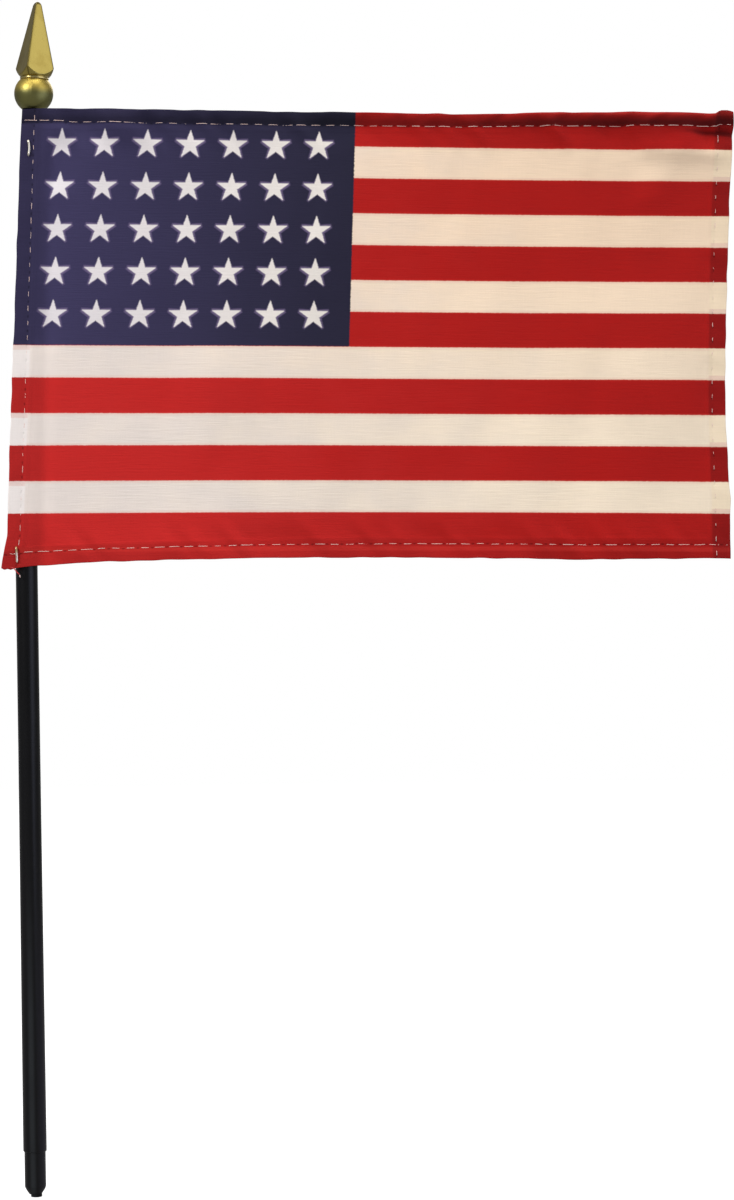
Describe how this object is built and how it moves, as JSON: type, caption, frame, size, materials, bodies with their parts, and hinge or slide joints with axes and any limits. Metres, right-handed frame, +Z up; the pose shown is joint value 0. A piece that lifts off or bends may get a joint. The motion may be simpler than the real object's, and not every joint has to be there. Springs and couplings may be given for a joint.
{
  "type": "stick flag",
  "caption": "Striped cloth flag with a starred dark corner, hemmed on all sides and stapled to the front of a round bowed black plastic staff with a gold spear finial on a ball.",
  "frame": {"origin": "centre of the flat end of the gate nub at the staff's foot", "axes": "+Z up along the straight tapered shank, +X towards the flag's fly edge, +Y from the cloth back through the staff"},
  "size_m": [0.1577, 0.0084, 0.2574],
  "materials": {
    "black_plastic": "gloss",
    "gold_plastic": "polished",
    "printed_cloth": "matte",
    "sewing_thread": "satin",
    "staple_wire": "satin"
  },
  "bodies": {
    "staff_body": {"staff": "black_plastic", "finial": "gold_plastic", "hoist_strip": "printed_cloth", "staple_upper": "staple_wire", "staple_lower": "staple_wire", "hoist_needle_thread": "sewing_thread", "hoist_bobbin_thread": "sewing_thread"},
    "flag_body": {"flag_field": "printed_cloth", "top_needle_thread": "sewing_thread", "top_bobbin_thread": "sewing_thread", "fly_needle_thread": "sewing_thread", "fly_bobbin_thread": "sewing_thread", "bottom_needle_thread": "sewing_thread", "bottom_bobbin_thread": "sewing_thread"}
  },
  "joints": [
    {"name": "flag_swing", "type": "hinge", "parent": "staff_body", "child": "flag_body", "pos_m": [0.0032, -0.00282, 0.1354], "axis": [0.0283, 0, 0.9996], "range_deg": [-120, 90], "stiffness_Nm_per_rad": 0.0002}
  ]
}
